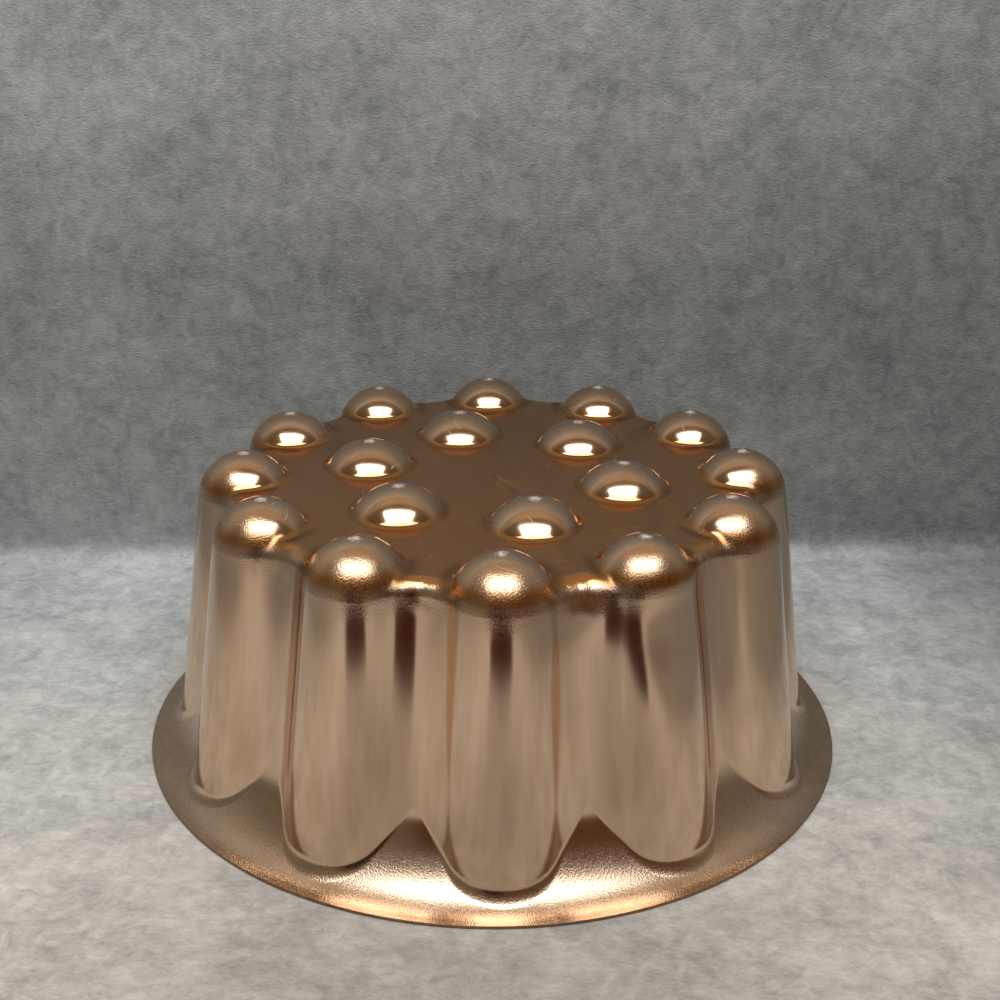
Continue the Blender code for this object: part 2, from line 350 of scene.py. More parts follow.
@dataclass(frozen=True)
class SheetFaults:
    """Small waves and wrinkles that pressing leaves in the sheet."""

    form: PressedForm
    wave_height: float = 0.035 * MM
    wave_length: float = 26 * MM
    wave_count: int = 9
    wrinkle_height: float = 0.10 * MM
    wrinkle_length: float = 4.5 * MM
    wrinkle_count: int = 7
    wrinkle_inset: float = 2 * MM
    wrinkle_drop: float = 3 * MM
    wrinkle_reach: float = 4 * MM
    wrinkle_stretch: float = 1.6
    wrinkle_turn: float = math.radians(5)
    dent_depth: float = 2.6 * MM
    dent_azimuth: float = math.radians(22)
    dent_width: float = math.radians(7.5)
    dent_drop: float = 9 * MM
    dent_rise: float = 8 * MM
    dent_fall: float = 15 * MM
    calm_foot: tuple[float, float] = (1.5 * MM, 8 * MM)
    calm_top: float = 2.5 * MM
    length_spread: tuple[float, float] = (0.7, 1.5)
    seed: int = 7

    def ripple(self, points: Array, length: float, count: int, seed: int) -> Array:
        """Adds up sine waves that run in random directions.

        Args:
            points: Where the ripple is wanted.
            length: Usual distance from crest to crest.
            count: How many waves are added.
            seed: Choice of directions.

        Returns:
            Height between about -1 and 1.
        """
        chance = np.random.default_rng(seed)
        headings = unit(chance.normal(size=(count, 3)))
        lengths = length * chance.uniform(*self.length_spread, count)
        starts = chance.uniform(0, math.tau, count)
        waves = np.sin(points @ (headings * math.tau / lengths[:, None]).T + starts)
        return waves.sum(-1) / math.sqrt(2 * count)

    def height(self, points: Array) -> Array:
        """Gives how far the sheet stands out of the true form.

        Args:
            points: Points on the true form.

        Returns:
            Height of the sheet over each point.
        """
        form, z = self.form, points[..., 2]
        radius = np.hypot(points[..., 0], points[..., 1])
        angle = form.folded(np.arctan2(points[..., 1], points[..., 0]) - FRONT, form.flutes)
        low = smooth_step(z, *self.calm_foot)
        under_top = 1 - smooth_step(z, form.height - self.calm_top, form.height)
        waves = self.wave_height * self.ripple(points, self.wave_length, self.wave_count, self.seed)
        edge = form.valley(np.array(form.deck)) - self.wrinkle_inset
        off_valley = np.hypot(radius - edge, (z - form.deck + self.wrinkle_drop) / self.wrinkle_stretch)
        near_valley = np.exp(-((off_valley / self.wrinkle_reach) ** 2))
        near_valley = near_valley * np.exp(-(((angle - form.half_pitch) / self.wrinkle_turn) ** 2))
        wrinkle = self.ripple(points, self.wrinkle_length, self.wrinkle_count, self.seed + 1)
        return (waves + self.wrinkle_height * near_valley * wrinkle + self.dent(points)) * low * under_top

    def dent(self, points: Array) -> Array:
        """Gives the dent that flattens the side of one flute just under the deck.

        Args:
            points: Points on the true form.

        Returns:
            Height at each point, below 0 on one side of the dent and above 0 on the other.
        """
        azimuth = np.arctan2(points[..., 1], points[..., 0]) - FRONT
        aside = (azimuth - self.dent_azimuth) / self.dent_width
        below = self.form.deck - self.dent_drop - points[..., 2]
        below = below / np.where(below < 0, self.dent_rise, self.dent_fall)
        return -self.dent_depth * aside * np.exp(-(aside**2) / 2 - below**2)

    def applied(self, points: Array, outward: Array) -> tuple[Array, Array]:
        """Moves points of the true form onto the real sheet.

        Args:
            points: Points on the true form.
            outward: Directions straight out of it.

        Returns:
            The moved points, and their directions straight out.
        """
        step = 0.02 * MM
        lift = self.height(points)
        sides = [step * np.eye(3)[axis] for axis in range(3)]
        slope = np.stack([(self.height(points + side) - lift) / step for side in sides], -1)
        along = slope - outward * (slope * outward).sum(-1, keepdims=True)
        return points + outward * lift[..., None], unit(outward - along)


@dataclass
class MouldSkin:
    """Outer and inner skins of the sheet, each laid as rings of points round the axis."""

    form: PressedForm = field(default_factory=PressedForm)
    columns_per_flute: int = 48
    deck_rows: int = 130
    deck_reach: float = 52 * MM
    below_deck: float = 10 * MM
    join_rows: int = 4
    dome_rows: int = 84
    dome_crowding: float = 1.1
    wall_rows: int = 34
    crease_rows: int = 30
    crease_crowding: float = 1.5
    sweep_rows: int = 44
    sweep_crowding: float = 1.4
    flat_rows: int = 3

    def __post_init__(self) -> None:
        """Works out the directions of the columns."""
        count = self.columns_per_flute * self.form.flutes
        azimuth = np.arange(count) * math.tau / count
        self.angle = self.form.folded(azimuth, self.form.flutes)
        turned = azimuth + FRONT
        self.sideways = np.stack([np.cos(turned), np.sin(turned), 0 * turned], -1)
        self.upward = np.array([0.0, 0.0, 1.0])

    def turned_rows(
        self, centre: Array, start: Array, end: Array | float, shares: Array, farthest: float = 0.2,
    ) -> Array:
        """Lays rows by turning about one centre in each column.

        Args:
            centre: Centre of each column.
            start: First angle of each column, measured outward from straight up.
            end: Last angle of each column.
            shares: How far between the two each row lies.
            farthest: Most that a row may lie away from its centre.

        Returns:
            Points by row and column.
        """
        turn = start + (end - start) * shares[:, None]
        heading = self.sideways * np.sin(turn)[..., None] + self.upward * np.cos(turn)[..., None]
        return self.form.laid(np.broadcast_to(centre, heading.shape), heading, farthest)

    def true_points(self) -> Array:
        """Lays the whole outer skin without its faults.

        Returns:
            Points by row, from the middle of the deck to the rim, and column.
        """
        # Straight up over the middle of the deck and its inner domes
        form = self.form
        radii = np.linspace(0, self.deck_reach, self.deck_rows + 1)[1:, None, None]
        start_height = self.upward * (form.deck - self.below_deck)
        below = self.sideways * radii + start_height
        rows = [form.laid(below, np.broadcast_to(self.upward, below.shape))]

        # Straight up again, to the foot of the outer domes and of the shoulders between them
        middle = form.flute_circle * np.cos(self.angle)
        beside = form.flute_circle * np.sin(self.angle)
        above = form.deck - form.dome_centre
        reach = math.sqrt((form.dome_radius + form.dome_foot_radius) ** 2 - above**2) + form.gauge / 2
        past = middle + form.shoulder_radius - form.valley(np.array(form.deck)) + form.gauge / 2
        inward = np.sqrt(np.maximum(reach**2 - beside**2, np.maximum(past, form.gauge) ** 2))
        shares = np.linspace(0, 1, self.join_rows + 2)[1:-1, None]
        flat = (middle - inward - self.deck_reach) * shares + self.deck_reach
        below = self.sideways * flat[..., None] + start_height
        rows.append(form.laid(below, np.broadcast_to(self.upward, below.shape)))

        # Round the domes' centres, over the domes and the shoulders between them
        centre = self.sideways * middle[:, None] + self.upward * form.dome_centre
        first = -np.arctan2(inward, above)
        shares = np.linspace(0, 1, self.dome_rows + 1) ** self.dome_crowding
        past_fillet = form.dome_radius + form.dome_foot_radius + form.gauge
        rows.append(self.turned_rows(centre, first, np.pi / 2, shares, past_fillet))

        # Level and outward, down the wall to just above the sweep
        foot = form.seam(self.angle)
        wall_end = foot + np.minimum(form.crease_radius + form.gauge, (form.dome_centre - foot) / 4)
        shares = np.linspace(0, 1, self.wall_rows + 1)[1:, None]
        level = form.dome_centre + (wall_end - form.dome_centre) * shares
        inside = self.sideways * middle[:, None] / 2 + self.upward * level[..., None]
        rows.append(form.laid(inside, np.broadcast_to(self.sideways, inside.shape)))

        # Round a ring below the floor, through the crease, down the sweep and out over the flange
        pivot_radius = float(form.valley(np.array(form.sweep_top))) - form.sweep_height / 4
        pivot = self.sideways * pivot_radius - self.upward * form.sweep_height
        wall_foot_painted_shade = np.hypot(rows[-1][-1][:, 0], rows[-1][-1][:, 1])
        start = np.arctan2(wall_foot_painted_shade - pivot_radius, wall_end + form.sweep_height)
        corner = np.arctan2(form.sweep_radius(foot) - pivot_radius, foot + form.sweep_height)
        flat_start = form.rim_radius - form.flange_flat
        end = np.arctan2(flat_start - pivot_radius, form.gauge + form.sweep_height)
        eased = 1 - (1 - np.linspace(0, 1, self.crease_rows + 1)[1:]) ** self.crease_crowding
        rows.append(self.turned_rows(pivot, start, corner, eased))
        eased = np.linspace(0, 1, self.sweep_rows + 1)[1:] ** self.sweep_crowding
        rows.append(self.turned_rows(pivot, corner, end, eased))
        radii = flat_start + form.flange_flat * np.linspace(0, 1, self.flat_rows + 1)[1:, None, None]
        rows.append(self.sideways * radii + self.upward * form.gauge)
        return np.concatenate(rows)

    @staticmethod
    def ring_mesh(name: str, points: Array, outward: Array, peak: Array) -> Any:
        """Joins rows of points into a closed disc with exact directions for its shading.

        Args:
            name: Name of the mesh.
            points: Points by row and column, from the middle outward.
            outward: Direction straight out at each point.
            peak: Point that closes the middle.

        Returns:
            The new mesh.
        """
        rows, columns = points.shape[:2]
        places = np.concatenate([points.reshape(-1, 3), peak[None]])
        start = np.arange(rows - 1)[:, None] * columns
        here = np.arange(columns)[None]
        there = (here + 1) % columns
        after = start + columns
        quads = np.stack([start + here, after + here, after + there, start + there], -1)
        fan = [(rows * columns, place, (place + 1) % columns) for place in range(columns)]
        mesh = bpy.data.meshes.new(name)
        mesh.from_pydata(places.tolist(), [], quads.reshape(-1, 4).tolist() + fan)
        mesh.shade_smooth()
        straight = np.concatenate([outward.reshape(-1, 3), [[0.0, 0.0, np.sign(outward[0, 0, 2])]]])
        mesh.normals_split_custom_set_from_vertices(straight.tolist())
        return mesh


class Part(Enum):
    """Pieces of the mould, each with the name of its object."""

    OUTSIDE = "mould_outer_skin"
    INSIDE = "mould_inner_skin"
    EDGE = "mould_cut_edge"


@dataclass(frozen=True)
class CopperAnodise:
    """Aluminium sheet, pressed bright and then anodised in a copper dye.

    The clear dyed layer gives a satin copper mirror that turns pale where it faces the light.
    The press stretched the metal over the domes' shoulders and the flange, and left a fine orange peel
    there that sparkles in the light.
    """

    body: str = "#DEC4AB"
    deeper: str = "#D6B99E"
    # Browner colour painted on the deck and dome tops for the dark backdrop they reflect
    painted_reflection_brown: str = "#C68F57"
    rubbed: str = "#FBF7F2"
    # Colour of the shade painted into the corners round the domes
    painted_shade: str = "#5A3A1C"
    pit: str = "#3A2417"
    streak_spacing: float = 6.4 * MM
    streak_squeeze: float = 0.04
    streak_levels: tuple[float, float] = (0.3, 0.7)
    cloud_size: float = 28 * MM
    tone_levels: tuple[float, float] = (0.75, 1.25)
    painted_reflection_brown_top: float = 0.25
    painted_reflection_brown_deck: float = 0.67
    pit_spacing: float = 15 * MM
    pit_rim: tuple[float, float] = (0.012, 0.022)
    pit_share: float = 0.85
    speck_size: float = 0.9 * MM
    worn_levels: tuple[float, float] = (1.15, 1.5)
    worn_share: float = 0.8
    scratch_spread: float = 30 * MM
    scratch_rim: tuple[float, float] = (0.0008, 0.0022)
    scratch_length: float = 6 * MM
    scratch_levels: tuple[float, float] = (0.58, 0.64)
    scratch_share: float = 0.35
    satin: tuple[float, float] = (0.125, 0.155)
    peel_rough: float = 0.29
    deck_rough: float = -0.02
    worn_rough: float = 0.85
    painted_shade_rough: float = 0.10
    peel_size: float = 0.43 * MM
    peel_depth: float = 0.07 * MM
    peel_elsewhere: float = 0.06

    def build(self) -> Any:
        """Makes the material.

        Returns:
            The material, which reads the vertex attributes stretch, rub, deck and top, and the attribute
            that holds the painted shade.
        """
        material, tree, shader = begun("copper_dyed_anodised_aluminium_pressed")
        shader.inputs["Metallic"].default_value = 1.0
        place = add_node(tree, "TexCoord").outputs["Object"]
        stretch, rub, deck, top, painted_shade = (
            add_node(tree, "Attribute", {"attribute_name": name}).outputs["Fac"]
            for name in ("stretch", "rub", "deck", "top", "painted_shade")
        )

        # Draw marks run up the walls: the noise is squeezed across and long in height
        tall = add_node(
            tree, "VectorMath", MULTIPLY, i0=place, i1=(1.0, 1.0, self.streak_squeeze),
        ).outputs[0]
        streaks = add_node(
            tree, "TexNoise", Vector=tall, Scale=1 / self.streak_spacing, Detail=5.0,
        ).outputs["Fac"]
        cloud = add_node(
            tree, "TexNoise", Vector=place, Scale=1 / self.cloud_size, Detail=3.0, Roughness=0.55,
        ).outputs["Fac"]
        tone = add_node(tree, "Math", ADD, i0=streaks, i1=cloud).outputs[0]
        low, high = self.tone_levels
        tone = add_node(tree, "MapRange", Value=tone, From_Min=low, From_Max=high).outputs[0]

        # The deck, and faintly the dome tops, are mixed toward a browner colour, painted in for the dark
        # backdrop that they reflect
        flat = add_node(tree, "Math", MULTIPLY, i0=top, i1=self.painted_reflection_brown_top).outputs[0]
        flat = add_node(
            tree, "Math", MULTIPLY_ADD | {"use_clamp": True}, i0=deck, i1=self.painted_reflection_brown_deck, i2=flat,
        ).outputs[0]

        # Small dark pits below the deck, each in the middle of its own cell of the pattern
        cell = add_node(tree, "TexVoronoi", Vector=place, Scale=1 / self.pit_spacing)
        low, high = self.pit_rim
        pit = add_node(
            tree, "MapRange", Value=cell.outputs["Distance"],
            From_Min=low, From_Max=high, To_Min=self.pit_share, To_Max=0.0,
        ).outputs[0]
        off_deck = add_node(tree, "Math", SUBTRACT, i0=1.0, i1=top).outputs[0]
        pit = add_node(tree, "Math", MULTIPLY, i0=pit, i1=off_deck).outputs[0]

        # The dye is worn off the tops of the domes in specks
        specks = add_node(
            tree, "TexNoise", Vector=place, Scale=1 / self.speck_size, Detail=4.0, Roughness=0.7,
        ).outputs["Fac"]
        worn = add_node(tree, "Math", ADD, i0=specks, i1=rub).outputs[0]
        low, high = self.worn_levels
        worn = add_node(
            tree, "MapRange", Value=worn, From_Min=low, From_Max=high, To_Max=self.worn_share,
        ).outputs[0]

        # Hair-fine scratches curve over the deck and the domes, broken into short pieces
        curves = add_node(
            tree, "TexNoise", Vector=place, Scale=1 / self.scratch_spread, Detail=1.0, Distortion=1.5,
        ).outputs["Fac"]
        offset = add_node(tree, "Math", SUBTRACT, i0=curves, i1=0.5).outputs[0]
        offset = add_node(tree, "Math", {"operation": "ABSOLUTE"}, i0=offset).outputs[0]
        low, high = self.scratch_rim
        line = add_node(
            tree, "MapRange", Value=offset, From_Min=low, From_Max=high, To_Min=1.0, To_Max=0.0,
        ).outputs[0]
        pieces = add_node(
            tree, "TexNoise", Vector=place, Scale=1 / self.scratch_length, Detail=1.0,
        ).outputs["Fac"]
        low, high = self.scratch_levels
        piece = add_node(
            tree, "MapRange", Value=pieces, From_Min=low, From_Max=high, To_Max=self.scratch_share,
        ).outputs[0]
        scratch = add_node(tree, "Math", MULTIPLY, i0=line, i1=piece).outputs[0]
        scratch = add_node(tree, "Math", MULTIPLY, i0=scratch, i1=top).outputs[0]
        worn = add_node(tree, "Math", {"operation": "MAXIMUM"}, i0=worn, i1=scratch).outputs[0]

        # Painted shade darkens the corners round the domes, under the wear
        colour = add_node(
            tree, "Mix", COLOUR, Factor=tone, i6=linear(self.deeper), i7=linear(self.body),
        ).outputs[2]
        layers = ((flat, self.painted_reflection_brown), (pit, self.pit), (painted_shade, self.painted_shade), (worn, self.rubbed))
        for share, shade in layers:
            colour = add_node(tree, "Mix", COLOUR, Factor=share, i6=colour, i7=linear(shade)).outputs[2]
        tree.links.new(colour, shader.inputs["Base Color"])

        # Orange peel, full where the metal stretched and faint elsewhere
        peel = add_node(
            tree, "TexNoise", Vector=place, Scale=1 / self.peel_size, Detail=2.0, Roughness=0.5,
        ).outputs["Fac"]
        depth = add_node(tree, "MapRange", Value=stretch, To_Min=self.peel_elsewhere).outputs[0]
        grain = add_node(tree, "Math", MULTIPLY, i0=peel, i1=depth).outputs[0]
        bump = add_node(tree, "Bump", Strength=1.0, Distance=self.peel_depth, Height=grain)
        tree.links.new(bump.outputs["Normal"], shader.inputs["Normal"])

        # Satin on the walls, smoother on the deck, rougher with peel, wear and the painted shade
        faint, strong = self.streak_levels
        low, high = self.satin
        rough = add_node(
            tree, "MapRange", Value=streaks, From_Min=faint, From_Max=strong, To_Min=low, To_Max=high,
        ).outputs[0]
        changes = (
            (grain, self.peel_rough), (deck, self.deck_rough),
            (worn, self.worn_rough), (painted_shade, self.painted_shade_rough),
        )
        for share, change in changes:
            rough = add_node(tree, "Math", MULTIPLY_ADD, i0=share, i1=change, i2=rough).outputs[0]
        tree.links.new(rough, shader.inputs["Roughness"])
        return material


@dataclass(frozen=True)
class MarkedMetal:
    """Plain metal with the marks of the tool that shaped it."""

    title: str
    body: str
    deeper: str
    mark_size: float
    mark_squeeze: float
    mark_detail: float
    mark_roughness: float
    satin: tuple[float, float]
    mark_levels: tuple[float, float] = (0.3, 0.7)

    def build(self) -> Any:
        """Makes the material.

        Returns:
            The material.
        """
        material, tree, shader = begun(self.title)
        shader.inputs["Metallic"].default_value = 1.0
        place = add_node(tree, "TexCoord").outputs["Object"]
        drawn = add_node(tree, "VectorMath", MULTIPLY, i0=place, i1=(1.0, 1.0, self.mark_squeeze)).outputs[0]
        marks = add_node(
            tree, "TexNoise", Vector=drawn, Scale=1 / self.mark_size,
            Detail=self.mark_detail, Roughness=self.mark_roughness,
        ).outputs["Fac"]
        colour = add_node(
            tree, "Mix", COLOUR, Factor=marks, i6=linear(self.deeper), i7=linear(self.body),
        ).outputs[2]
        faint, strong = self.mark_levels
        low, high = self.satin
        rough = add_node(
            tree, "MapRange", Value=marks, From_Min=faint, From_Max=strong, To_Min=low, To_Max=high,
        ).outputs[0]
        tree.links.new(colour, shader.inputs["Base Color"])
        tree.links.new(rough, shader.inputs["Roughness"])
        return material


@dataclass(frozen=True)
class BareAluminium(MarkedMetal):
    """Aluminium sheet as the press left it, undyed.

    Inside the mould it is a soft grey metal with faint drawing marks.
    """

    title: str = "bare_aluminium_pressed"
    body: str = "#D6D4D0"
    deeper: str = "#BDBAB4"
    mark_size: float = 5 * MM
    mark_squeeze: float = 0.06
    mark_detail: float = 5.0
    mark_roughness: float = 0.5
    satin: tuple[float, float] = (0.26, 0.38)


@dataclass(frozen=True)
class CutEdge(MarkedMetal):
    """Sheared edge of the dyed sheet, which shows the tool's marks and holds some dirt."""

    title: str = "anodised_aluminium_sheared_edge"
    body: str = "#B0906E"
    deeper: str = "#6E5540"
    mark_size: float = 1.5 * MM
    mark_squeeze: float = 1.0
    mark_detail: float = 4.0
    mark_roughness: float = 0.65
    satin: tuple[float, float] = (0.3, 0.5)


@dataclass(frozen=True)
class GreyFelt:
    """Soft grey felt under and behind the mould, brushed from wool.

    Its pile leans this way and that, which gives the eye cloudy patches and short slanting strokes; light
    and shade are also painted into its colour.
    """

    body: str = "#E4E4E2"
    deeper: str = "#A2A4A5"
    # Warm tint painted on the cloth in front of the mould, for the copper's warm bounce light
    painted_warm_bounce: str = "#FFFAF3"
    cool: str = "#F8FDFF"
    stroke_length: float = 3.2 * MM
    stroke_width: float = 1.8 * MM
    stroke_slant: float = math.radians(32)
    stroke_share: float = 0.9
    clump_size: float = 7 * MM
    cloud_size: float = 30 * MM
    cloud_share: float = 0.8
    pile_levels: tuple[float, float] = (0.98, 1.72)
    fibres_per_stroke: float = 3.0
    fibre_depth: float = 0.8 * MM
    tint_span: tuple[float, float] = (-0.12, 0.08)
    # Painted light across the floor: its tone at each place from left to right
    floor_painted_light: tuple[tuple[float, float], ...] = (
        (-0.30, 0.58), (-0.21, 1.20), (-0.13, 1.29), (-0.03, 0.93), (0.12, 1.16), (0.20, 0.62),
    )
    # Painted light on the wall: paler to the left, dark at its foot and paler higher up
    wall_painted_light: tuple[tuple[float, float], ...] = ((-0.20, 1.28), (0.00, 1.15), (0.18, 0.94))
    wall_foot_painted_shade: float = 0.58
    fold_height: float = 6 * MM
    wall_painted_light_rise: tuple[float, float, float] = (0.10, 0.36, 2.30)
    # Painted shadow: the cloth darkens towards a spot just in front of the mould
    painted_shadow: tuple[float, float, float] = (0.02, -0.17, 0.0)
    painted_shadow_reach: float = 0.10
    painted_shadow_tone: float = 0.80

    @staticmethod
    def curve(tree: Any, value: Any, tones: tuple[tuple[float, float], ...]) -> Any:
        """Adds a curve that gives a tone at each position.

        Args:
            tree: Node tree of the material.
            value: Output that gives the position.
            tones: Positions and the tone at each, at most 2.

        Returns:
            Output with the tone.
        """
        low, high = tones[0][0], tones[-1][0]
        share = add_node(tree, "MapRange", Value=value, From_Min=low, From_Max=high).outputs[0]
        ramp = add_node(tree, "ValToRGB", Fac=share)
        ramp.color_ramp.interpolation = "EASE"
        steps = ramp.color_ramp.elements
        for number, (position, tone) in enumerate(tones):
            place = (position - low) / (high - low)
            step = steps[number] if number < 2 else steps.new(place)
            step.position = place
            step.color = (tone / 2, tone / 2, tone / 2, 1.0)
        return add_node(tree, "Math", MULTIPLY, i0=ramp.outputs["Color"], i1=2.0).outputs[0]

    def shade(self, tree: Any, place: Any) -> Any:
        """Paints light and shade into the cloth's colour: a shadow in front of the mould, tones across the
        floor, and a wall that is dark at its foot and paler higher up.

        Args:
            tree: Node tree of the material.
            place: Output that gives the position on the cloth.

        Returns:
            Output with a factor near 1.
        """
        split = add_node(tree, "SeparateXYZ", Vector=place).outputs
        # Painted shadow that darkens the floor round a spot in front of the mould
        away = add_node(tree, "VectorMath", {"operation": "DISTANCE"}, i0=place, i1=self.painted_shadow)
        painted_shadow = add_node(
            tree, "MapRange", EASED,
            Value=away.outputs["Value"], From_Max=self.painted_shadow_reach, To_Min=self.painted_shadow_tone,
        ).outputs[0]
        # Painted light and shade in bands across the floor from left to right, times the painted shadow
        floor = self.curve(tree, split["X"], self.floor_painted_light)
        floor = add_node(tree, "Math", MULTIPLY, i0=floor, i1=painted_shadow).outputs[0]
        # Painted shade on the wall: dark at its foot, paler higher up and paler to the left
        low, high, pale = self.wall_painted_light_rise
        foot = self.wall_foot_painted_shade
        rise = add_node(
            tree, "MapRange",
            Value=split["Z"], From_Min=low, From_Max=high, To_Min=foot, To_Max=foot * pale,
        ).outputs[0]
        wall = self.curve(tree, split["X"], self.wall_painted_light)
        wall = add_node(tree, "Math", MULTIPLY, i0=wall, i1=rise).outputs[0]
        upright = add_node(tree, "MapRange", EASED, Value=split["Z"], From_Max=self.fold_height).outputs[0]
        return add_node(tree, "Mix", {"data_type": "FLOAT"}, i0=upright, i2=floor, i3=wall).outputs[0]

    def build(self) -> Any:
        """Makes the material.

        Returns:
            The material, which is clear from behind so that the cloth never hides the mould.
        """
        material, tree, shader = begun("grey_wool_felt_brushed")
        shader.inputs["Roughness"].default_value = 1.0
        shader.inputs["Specular IOR Level"].default_value = 0.1
        place = add_node(tree, "TexCoord").outputs["Object"]
        clouds = add_node(
            tree, "TexNoise", Vector=place, Scale=1 / self.cloud_size, Detail=3.0, Roughness=0.5,
        ).outputs["Fac"]
        clumps = add_node(
            tree, "TexNoise", Vector=place, Scale=1 / self.clump_size, Detail=4.0, Roughness=0.6,
            Distortion=0.8,
        ).outputs["Fac"]
        turned = add_node(
            tree, "Mapping", Vector=place,
            Rotation=(0.0, self.stroke_slant, self.stroke_slant),
            Scale=(1 / self.stroke_length, 1 / self.stroke_width, 1 / self.stroke_width),
        ).outputs[0]
        strokes = add_node(
            tree, "TexNoise", Vector=turned, Scale=1.0, Detail=5.0, Roughness=0.7, Distortion=0.9,
        ).outputs["Fac"]
        tone = clumps
        for pattern, share in ((clouds, self.cloud_share), (strokes, self.stroke_share)):
            tone = add_node(tree, "Math", MULTIPLY_ADD, i0=pattern, i1=share, i2=tone).outputs[0]
        low, high = self.pile_levels
        tone = add_node(tree, "MapRange", Value=tone, From_Min=low, From_Max=high).outputs[0]
        colour = add_node(
            tree, "Mix", COLOUR, Factor=tone, i6=linear(self.deeper), i7=linear(self.body),
        ).outputs[2]
        # The cloth is tinted warm in front, a painted warm bounce from the copper, and cooler towards the
        # wall
        depth = add_node(tree, "SeparateXYZ", Vector=place).outputs["Y"]
        low, high = self.tint_span
        far = add_node(tree, "MapRange", Value=depth, From_Min=low, From_Max=high).outputs[0]
        tint = add_node(
            tree, "Mix", COLOUR, Factor=far, i6=linear(self.painted_warm_bounce), i7=linear(self.cool),
        ).outputs[2]
        colour = add_node(tree, "VectorMath", MULTIPLY, i0=colour, i1=tint).outputs[0]
        # The painted light and shade scale the cloth's colour
        colour = add_node(
            tree, "VectorMath", {"operation": "SCALE"}, i0=colour, Scale=self.shade(tree, place),
        ).outputs[0]
        fibres = add_node(
            tree, "TexNoise", Vector=turned, Scale=self.fibres_per_stroke, Detail=4.0, Roughness=0.7,
        ).outputs["Fac"]
        bump = add_node(tree, "Bump", Strength=0.8, Distance=self.fibre_depth, Height=fibres)
        tree.links.new(colour, shader.inputs["Base Color"])
        tree.links.new(bump.outputs["Normal"], shader.inputs["Normal"])
        clear = add_node(tree, "BsdfTransparent").outputs[0]
        back = add_node(tree, "NewGeometry").outputs["Backfacing"]
        either = add_node(tree, "MixShader", i0=back, i1=shader.outputs[0], i2=clear).outputs[0]
        tree.links.new(either, tree.nodes["Material Output"].inputs["Surface"])
        return material


@dataclass(frozen=True)
class DarkCard:
    """Dark red-brown card, matt."""

    body: str = "#3A0E06"

    def build(self) -> Any:
        """Makes the material.

        Returns:
            The material.
        """
        material, _, shader = begun("red_brown_card_uncoated")
        shader.inputs["Base Color"].default_value = linear(self.body)
        shader.inputs["Roughness"].default_value = 0.9
        shader.inputs["Specular IOR Level"].default_value = 0.0
        return material


@dataclass(frozen=True)
class WearMap:
    """Where the press stretched the sheet, where use has rubbed it, and where shade is painted into the
    corners round the domes.
    """

    form: PressedForm
    rub_width: float = 3.2 * MM
    shoulder_span: tuple[float, float] = (-2 * MM, 6 * MM)
    shoulder_foot: tuple[float, float] = (-11 * MM, -1 * MM)
    shoulder_top: tuple[float, float] = (-2.5 * MM, -0.5 * MM)
    flange_height: tuple[float, float] = (8 * MM, 17 * MM)
    flange_tilt: tuple[float, float] = (0.25, 0.55)
    deck_below: tuple[float, float] = (-2 * MM, -1 * MM)
    deck_above: tuple[float, float] = (0.3 * MM, 2.5 * MM)
    # Painted shade at the sides of the outer domes and in a ring round each inner dome's foot
    flank_width: float = 1.6 * MM
    flank_drop: float = 1 * MM
    flank_height: float = 2.5 * MM
    flank_aside: tuple[float, float] = (0.6, 0.85)
    flank_painted_shade: float = 0.65
    ring_offset: float = 0.4 * MM
    ring_width: float = 0.9 * MM
    ring_painted_shade: float = 0.35

    @staticmethod
    def near(distance: Array, width: float) -> Array:
        """Falls softly from 1 at no distance, to about a third at the width."""
        return np.exp(-((distance / width) ** 2))

    def values(self, points: Array, outward: Array) -> dict[str, Array]:
        """Works out the value of each attribute.

        Args:
            points: Points of the outer skin.
            outward: Directions straight out of it.

        Returns:
            Values from 0 to 1 at each point, by the name of the attribute.
        """
        form, z = self.form, points[:, 2]
        above_deck, below_top = z - form.deck, z - form.height
        radius = np.hypot(points[:, 0], points[:, 1])
        azimuth = np.arctan2(points[:, 1], points[:, 0]) - FRONT
        angle = form.folded(azimuth, form.flutes)
        inner_angle = form.folded(azimuth - form.half_pitch, form.inner_domes)
        aside = radius * np.sin(angle)
        outer = np.hypot(radius * np.cos(angle) - form.flute_circle, aside)
        inner = np.hypot(radius * np.cos(inner_angle) - form.inner_circle, radius * np.sin(inner_angle))
        high = above_deck > 0
        rub = self.near(np.minimum(outer, inner), self.rub_width) * high
        shoulder = smooth_step(radius - form.flute_circle, *self.shoulder_span)
        shoulder = shoulder * smooth_step(above_deck, *self.shoulder_foot)
        shoulder = shoulder * (1 - smooth_step(below_top, *self.shoulder_top))
        flange = (1 - smooth_step(z, *self.flange_height)) * smooth_step(outward[:, 2], *self.flange_tilt)
        deck = smooth_step(above_deck, *self.deck_below) * (1 - smooth_step(above_deck, *self.deck_above))
        top = smooth_step(above_deck, self.deck_below[0], 0)
        # Painted shade in the corners at the sides of the outer domes, about the height of the deck, and in
        # a ring round each inner dome's foot
        flank = self.near(outer - form.dome_radius, self.flank_width)
        flank = flank * smooth_step(aside / form.dome_radius, *self.flank_aside)
        flank = flank * self.near(above_deck + self.flank_drop, self.flank_height)
        foot = math.sqrt(form.inner_dome_radius**2 - (form.inner_dome_radius - form.dome_rise) ** 2)
        ring = self.near(inner - foot - self.ring_offset, self.ring_width) * high
        painted_shade = np.clip(self.flank_painted_shade * flank + self.ring_painted_shade * ring, 0, 1)
        stretch = np.maximum(shoulder, flange)
        return {"rub": rub, "stretch": stretch, "deck": deck, "top": top, "painted_shade": painted_shade}


